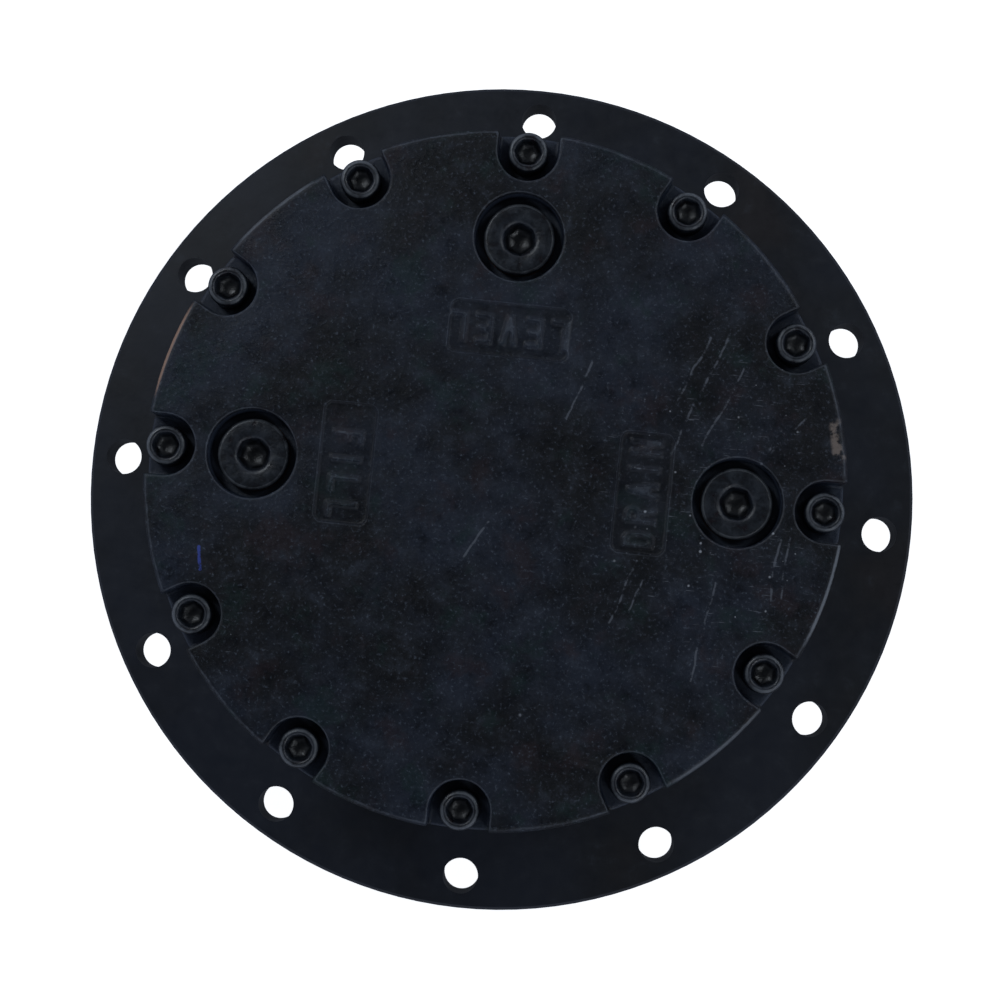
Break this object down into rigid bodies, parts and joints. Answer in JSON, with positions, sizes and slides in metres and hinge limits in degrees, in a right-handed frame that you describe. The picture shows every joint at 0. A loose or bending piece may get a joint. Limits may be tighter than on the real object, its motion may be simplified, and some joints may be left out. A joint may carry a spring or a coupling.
{
  "type": "planetary track drive",
  "caption": "Planetary final drive for a crawler track: a turning hub with a bolted sprocket flange, a ring gear and a cast cover with oil plugs, on a fixed spindle with a gear train inside.",
  "frame": {"origin": "centre of the spindle's mounting face, on the drive's axis", "axes": "+Z along the axis out of the cover; +Y through the level plug; +X through the drain plug"},
  "size_m": [0.412, 0.412, 0.2338],
  "materials": {
    "painted_casting": "satin black paint over a cast skin",
    "painted_hub": "satin black paint over machined steel",
    "painted_fastener": "satin black paint",
    "painted_plug": "satin black paint",
    "gear_steel": "machined",
    "bearing_steel": "ground",
    "machined_iron": "machined",
    "bronze": "machined",
    "copper_washer": "machined",
    "seal_rubber": "matt"
  },
  "bodies": {
    "spindle": {"spindle": "painted_casting", "rear_bearing_inner_ring": "bearing_steel", "front_bearing_inner_ring": "bearing_steel", "fixed_seal_ring": "gear_steel", "fixed_seal_toric": "seal_rubber", "stage_2_carrier": "machined_iron", "stage_2_carrier_screws": "gear_steel", "stage_2_pins": "gear_steel", "stage_2_retaining_plate": "machined_iron", "stage_2_plate_screws": "gear_steel", "stage_2_thrust_washers": "bronze"},
    "hub": {"hub": "painted_hub", "rear_bearing_outer_ring": "bearing_steel", "front_bearing_outer_ring": "bearing_steel", "turning_seal_ring": "gear_steel", "turning_seal_toric": "seal_rubber", "ring_gear": "painted_hub", "hub_o_ring": "seal_rubber", "hub_dowels": "gear_steel", "cover": "painted_casting", "cover_o_ring": "seal_rubber", "cover_dowels": "gear_steel", "cover_screws": "painted_fastener", "level_plug": "painted_plug", "fill_plug": "painted_plug", "drain_plug": "painted_plug", "plug_washers": "copper_washer", "thrust_button": "bronze"},
    "rear_ball_set": {"rear_bearing_balls": "bearing_steel", "rear_bearing_cage": "bronze"},
    "front_ball_set": {"front_bearing_balls": "bearing_steel", "front_bearing_cage": "bronze"},
    "first_carrier": {"stage_1_carrier": "machined_iron", "stage_2_sun_gear": "gear_steel", "stage_1_pins": "gear_steel", "stage_1_snap_rings": "gear_steel", "stage_1_thrust_washers": "bronze"},
    "input": {"input_sun_shaft": "gear_steel", "input_coupling": "gear_steel"},
    "first_planet_1": {"stage_1_planet_1": "gear_steel", "stage_1_bush_1": "bronze"},
    "first_planet_2": {"stage_1_planet_2": "gear_steel", "stage_1_bush_2": "bronze"},
    "first_planet_3": {"stage_1_planet_3": "gear_steel", "stage_1_bush_3": "bronze"},
    "second_planet_1": {"stage_2_planet_1": "gear_steel", "stage_2_bush_1": "bronze"},
    "second_planet_2": {"stage_2_planet_2": "gear_steel", "stage_2_bush_2": "bronze"},
    "second_planet_3": {"stage_2_planet_3": "gear_steel", "stage_2_bush_3": "bronze"},
    "second_planet_4": {"stage_2_planet_4": "gear_steel", "stage_2_bush_4": "bronze"}
  },
  "joints": [
    {"name": "hub_spin", "type": "hinge", "parent": "spindle", "child": "hub", "pos_m": [0, 0, 0], "axis": [0, 0, 1], "continuous": true},
    {"name": "rear_ball_set_roll", "type": "hinge", "parent": "spindle", "child": "rear_ball_set", "pos_m": [0, 0, 0], "axis": [0, 0, 1], "continuous": true},
    {"name": "front_ball_set_roll", "type": "hinge", "parent": "spindle", "child": "front_ball_set", "pos_m": [0, 0, 0], "axis": [0, 0, 1], "continuous": true},
    {"name": "first_carrier_spin", "type": "hinge", "parent": "spindle", "child": "first_carrier", "pos_m": [0, 0, 0], "axis": [0, 0, 1], "continuous": true},
    {"name": "input_spin", "type": "hinge", "parent": "spindle", "child": "input", "pos_m": [0, 0, 0], "axis": [0, 0, 1], "continuous": true},
    {"name": "first_planet_1_spin", "type": "hinge", "parent": "first_carrier", "child": "first_planet_1", "pos_m": [0, 0.072, 0], "axis": [0, 0, 1], "continuous": true},
    {"name": "first_planet_2_spin", "type": "hinge", "parent": "first_carrier", "child": "first_planet_2", "pos_m": [-0.06235, -0.036, 0], "axis": [0, 0, 1], "continuous": true},
    {"name": "first_planet_3_spin", "type": "hinge", "parent": "first_carrier", "child": "first_planet_3", "pos_m": [0.06235, -0.036, 0], "axis": [0, 0, 1], "continuous": true},
    {"name": "second_planet_1_spin", "type": "hinge", "parent": "spindle", "child": "second_planet_1", "pos_m": [0.081, 0, 0], "axis": [0, 0, 1], "continuous": true},
    {"name": "second_planet_2_spin", "type": "hinge", "parent": "spindle", "child": "second_planet_2", "pos_m": [0, 0.081, 0], "axis": [0, 0, 1], "continuous": true},
    {"name": "second_planet_3_spin", "type": "hinge", "parent": "spindle", "child": "second_planet_3", "pos_m": [-0.081, 0, 0], "axis": [0, 0, 1], "continuous": true},
    {"name": "second_planet_4_spin", "type": "hinge", "parent": "spindle", "child": "second_planet_4", "pos_m": [0, -0.081, 0], "axis": [0, 0, 1], "continuous": true}
  ],
  "couplings": [
    {"joint": "rear_ball_set_roll", "follows": "hub_spin", "ratio": 0.54762},
    {"joint": "front_ball_set_roll", "follows": "hub_spin", "ratio": 0.54762},
    {"joint": "first_carrier_spin", "follows": "hub_spin", "ratio": -3.5},
    {"joint": "input_spin", "follows": "hub_spin", "ratio": -35},
    {"joint": "first_planet_1_spin", "follows": "hub_spin", "ratio": 10.5},
    {"joint": "first_planet_2_spin", "follows": "hub_spin", "ratio": 10.5},
    {"joint": "first_planet_3_spin", "follows": "hub_spin", "ratio": 10.5},
    {"joint": "second_planet_1_spin", "follows": "hub_spin", "ratio": 2.8},
    {"joint": "second_planet_2_spin", "follows": "hub_spin", "ratio": 2.8},
    {"joint": "second_planet_3_spin", "follows": "hub_spin", "ratio": 2.8},
    {"joint": "second_planet_4_spin", "follows": "hub_spin", "ratio": 2.8}
  ]
}
